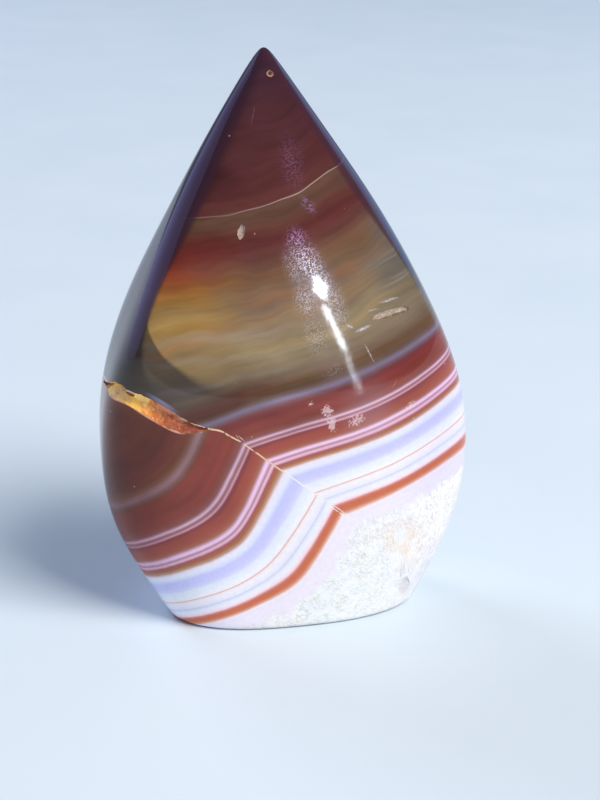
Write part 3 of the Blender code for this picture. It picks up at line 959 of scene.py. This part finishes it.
def pit_material():
    """Return the bruised floor of the pits, which lie at four different heights."""
    g = Graph("bruise")
    _, _, z = g.split(g.where)
    mottle = g.noise(2.2, 4.0, 0.6)
    pale = g.ramp(mottle, ((0.3, (128, 104, 92)), (0.5, (172, 148, 136)), (0.7, (206, 188, 178))))
    tan = g.ramp(mottle, ((0.3, (146, 128, 110)), (0.5, (178, 158, 140)), (0.7, (204, 188, 172))))
    dark = g.ramp(mottle, ((0.3, (52, 24, 26)), (0.7, (110, 66, 58))))
    grey = g.ramp(mottle, ((0.3, (208, 204, 206)), (0.7, (238, 236, 238))))
    # The long scar is a row of ragged strokes that taper to the right
    strokes = 0.0
    for centre, size, lean, feather in SCAR_STROKES:
        strokes = g.math("MAXIMUM", g.spot(centre, size, lean, feather), strokes)
    strokes = g.math("ADD", strokes, g.swing(g.noise(1.4, 3.0, 0.6), 0.7))
    tan = g.mix(g.step(strokes, 0.0, 0.2), (122, 100, 78), tan)
    ring = g.step(g.spot(*TIP_PIT_MIDDLE, 0.15), 0.35, 0.0)
    at_tip = g.mix(ring, dark, (172, 130, 108))
    base = grey
    for limit, colours in zip(PIT_LIMITS, (tan, pale, at_tip)):
        base = g.mix(g.math("GREATER_THAN", z, limit), base, colours)
    g.fill("Base Color", base)
    g.fill("Roughness", g.step(mottle, 0.3, 0.7, 0.4, 0.7))
    g.fill("Normal", g.bump(g.noise(4.0, 4.0), 0.5, 0.15))
    g.fill("IOR", STONE_IOR)
    return g.material


def build_stone():
    """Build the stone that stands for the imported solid."""
    corners, faces, tip_x = lofted_stone()
    blank = mesh_object("blank", corners, faces)
    for material in (stone_material(), fracture_material(), pit_material()):
        blank.data.materials.append(material)
    surface = BVHTree.FromPolygons([v.co for v in blank.data.vertices], faces)
    cutters = [ledge_cutter(surface)]
    cut(blank, cutters[0], 1)
    for name, values in PITS.items():
        cutters.append(pit_cutter(surface, name, *values))
        cut(blank, cutters[-1], 2)
    depsgraph = bpy.context.evaluated_depsgraph_get()
    mesh = bpy.data.meshes.new_from_object(blank.evaluated_get(depsgraph))
    for item in (blank, *cutters):
        bpy.data.objects.remove(item, do_unlink=True)
    mesh.name = "polished_stone"
    stone = add_object("polished_stone", mesh)
    mesh.shade_smooth()
    mesh.set_sharp_from_angle(angle=SHARP_ANGLE)
    write_band_values(mesh, tip_x)
    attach(stone, "root")
    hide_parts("stone")


# Studio, in metres
FLOOR_RADIUS = 2.0
WORLD_COLOUR = (0.55, 0.68, 0.92, 1.0)
WORLD_STRENGTH = 0.28
BACKDROP_COLOUR = (0.74, 0.81, 0.90, 1.0)
KEY_PLACE = (0.95, -1.05, 1.60)
KEY_SIZE = 1.0
KEY_POWER = 54.0
KEY_TINT = (1.0, 0.94, 0.87)
STONE_MIDDLE = (0.0, 0.0, 0.05)
# A second soft light from behind, for the far side
BACK_PLACE = (-1.0, 1.5, 1.3)
BACK_POWER = 15.0
BACK_TINT = (0.95, 0.97, 1.0)
# Cool cards behind the stone are mirrored in its bevels: place, size, power and tint
CARDS = (
    ((-0.92, 0.66, 0.345), (1.35, 0.68), 2.8, (0.38, 0.42, 1.0)),
    ((0.95, 0.75, 0.30), (0.7, 0.56), 1.4, (0.20, 0.48, 1.0)),
)
# The lamp that is mirrored in the front face as a diamond, made of three rectangles
HOT_SPOT_PLACE = (0.1015, -0.4999, 0.1111)
HOT_SPOT_SIZES = ((0.0016, 0.0124), (0.0034, 0.0086), (0.0054, 0.0046))
HOT_SPOT_ROLL = 20.0
HOT_SPOT_RADIANCE = 90.0
COOL_TINT = (0.86, 0.93, 1.0)
# Strips below it are mirrored as a fading streak: upper end, lower end, width and power
STRIPS = (
    ((0.1031, -0.5011, 0.1018), (0.1122, -0.5022, 0.0777), 0.0023, 0.0104),
    ((0.1122, -0.5022, 0.0777), (0.1178, -0.5027, 0.0520), 0.0022, 0.0030),
    ((0.1178, -0.5027, 0.0520), (0.1210, -0.5031, 0.0340), 0.0034, 0.0021),
    ((0.1210, -0.5031, 0.0340), (0.1234, -0.5036, 0.0040), 0.0042, 0.0016),
)


def build_floor():
    """Add the plain pale floor."""
    bpy.ops.mesh.primitive_circle_add(vertices=96, radius=FLOOR_RADIUS, fill_type="NGON")
    floor = bpy.context.object
    floor.name = "floor"
    g = Graph("pale_floor")
    mottle = g.noise(0.02, 4.0)
    g.fill("Base Color", g.mix(mottle, (206, 220, 230), (216, 228, 236)))
    g.fill("Roughness", 0.6)
    floor.data.materials.append(g.material)


def add_area(name, place, along, size, power, tint, roll=0.0):
    """Add one area light that faces the stone, with its height along a direction."""
    data = bpy.data.lights.new(name, "AREA")
    data.shape = "RECTANGLE"
    data.size, data.size_y = size
    data.energy = power
    data.color = tint
    lamp = add_object(name, data)
    facing = (Vector(place) - Vector(STONE_MIDDLE)).normalized()
    sideways = Vector(along).cross(facing).normalized()
    axes = Matrix((sideways, facing.cross(sideways), facing)).transposed()
    rolled = axes.to_4x4() @ Matrix.Rotation(math.radians(roll), 4, "Z")
    lamp.matrix_world = Matrix.Translation(place) @ rolled
    lamp.visible_camera = False
    return lamp


def build_lights():
    """Add the soft studio light."""
    world = bpy.data.worlds.new("studio")
    world.use_nodes = True
    tree = world.node_tree
    room = tree.nodes["Background"]
    room.inputs["Color"].default_value = WORLD_COLOUR
    room.inputs["Strength"].default_value = WORLD_STRENGTH
    # Straight from the camera, a plain pale backdrop shows past the floor
    backdrop = tree.nodes.new("ShaderNodeBackground")
    backdrop.inputs["Color"].default_value = BACKDROP_COLOUR
    rays = tree.nodes.new("ShaderNodeLightPath")
    either = tree.nodes.new("ShaderNodeMixShader")
    tree.links.new(rays.outputs["Is Camera Ray"], either.inputs[0])
    tree.links.new(room.outputs["Background"], either.inputs[1])
    tree.links.new(backdrop.outputs["Background"], either.inputs[2])
    tree.links.new(either.outputs["Shader"], tree.nodes["World Output"].inputs["Surface"])
    bpy.context.scene.world = world
    key = add_area("key", KEY_PLACE, UP, (KEY_SIZE, KEY_SIZE), KEY_POWER, KEY_TINT)
    key.visible_glossy = False
    back = add_area("back", BACK_PLACE, UP, (KEY_SIZE, KEY_SIZE), BACK_POWER, BACK_TINT)
    back.visible_glossy = False
    for place, size, power, tint in CARDS:
        add_area("card", place, UP, size, power, tint)
    for size in HOT_SPOT_SIZES:
        power = HOT_SPOT_RADIANCE * math.pi * size[0] * size[1]
        add_area("hot_spot", HOT_SPOT_PLACE, UP, size, power, COOL_TINT, HOT_SPOT_ROLL)
    for start, end, width, power in STRIPS:
        along = Vector(start) - Vector(end)
        middle = (Vector(start) + Vector(end)) / 2.0
        add_area("strip", middle, along, (width, along.length), power, COOL_TINT)


# Camera, fitted to the outline in the photograph: place relative to its target in metres
CAMERA_TARGET = (0.00303, 0.0, 0.04236)
CAMERA_AZIMUTH = -10.97
CAMERA_ELEVATION = 22.0
CAMERA_DISTANCE = 0.301
CAMERA_LENS = 70.0
CAMERA_SENSOR = 36.0
CAMERA_NEAREST = 0.01


def build_camera():
    """Add the camera at the photograph's viewing angle."""
    azimuth = math.radians(CAMERA_AZIMUTH)
    elevation = math.radians(CAMERA_ELEVATION)
    flat = math.cos(elevation)
    back = Vector((math.sin(azimuth) * flat, -math.cos(azimuth) * flat, math.sin(elevation)))
    camera = add_object("camera", bpy.data.cameras.new("camera"))
    camera.data.lens = CAMERA_LENS
    camera.data.sensor_width = CAMERA_SENSOR
    camera.data.clip_start = CAMERA_NEAREST
    camera.location = Vector(CAMERA_TARGET) + back * CAMERA_DISTANCE
    camera.rotation_euler = (-back).to_track_quat("-Z", "Y").to_euler()
    bpy.context.scene.camera = camera


build_camera()
build_stone()
build_floor()
build_lights()
bpy.context.scene.view_settings.view_transform = "Standard"
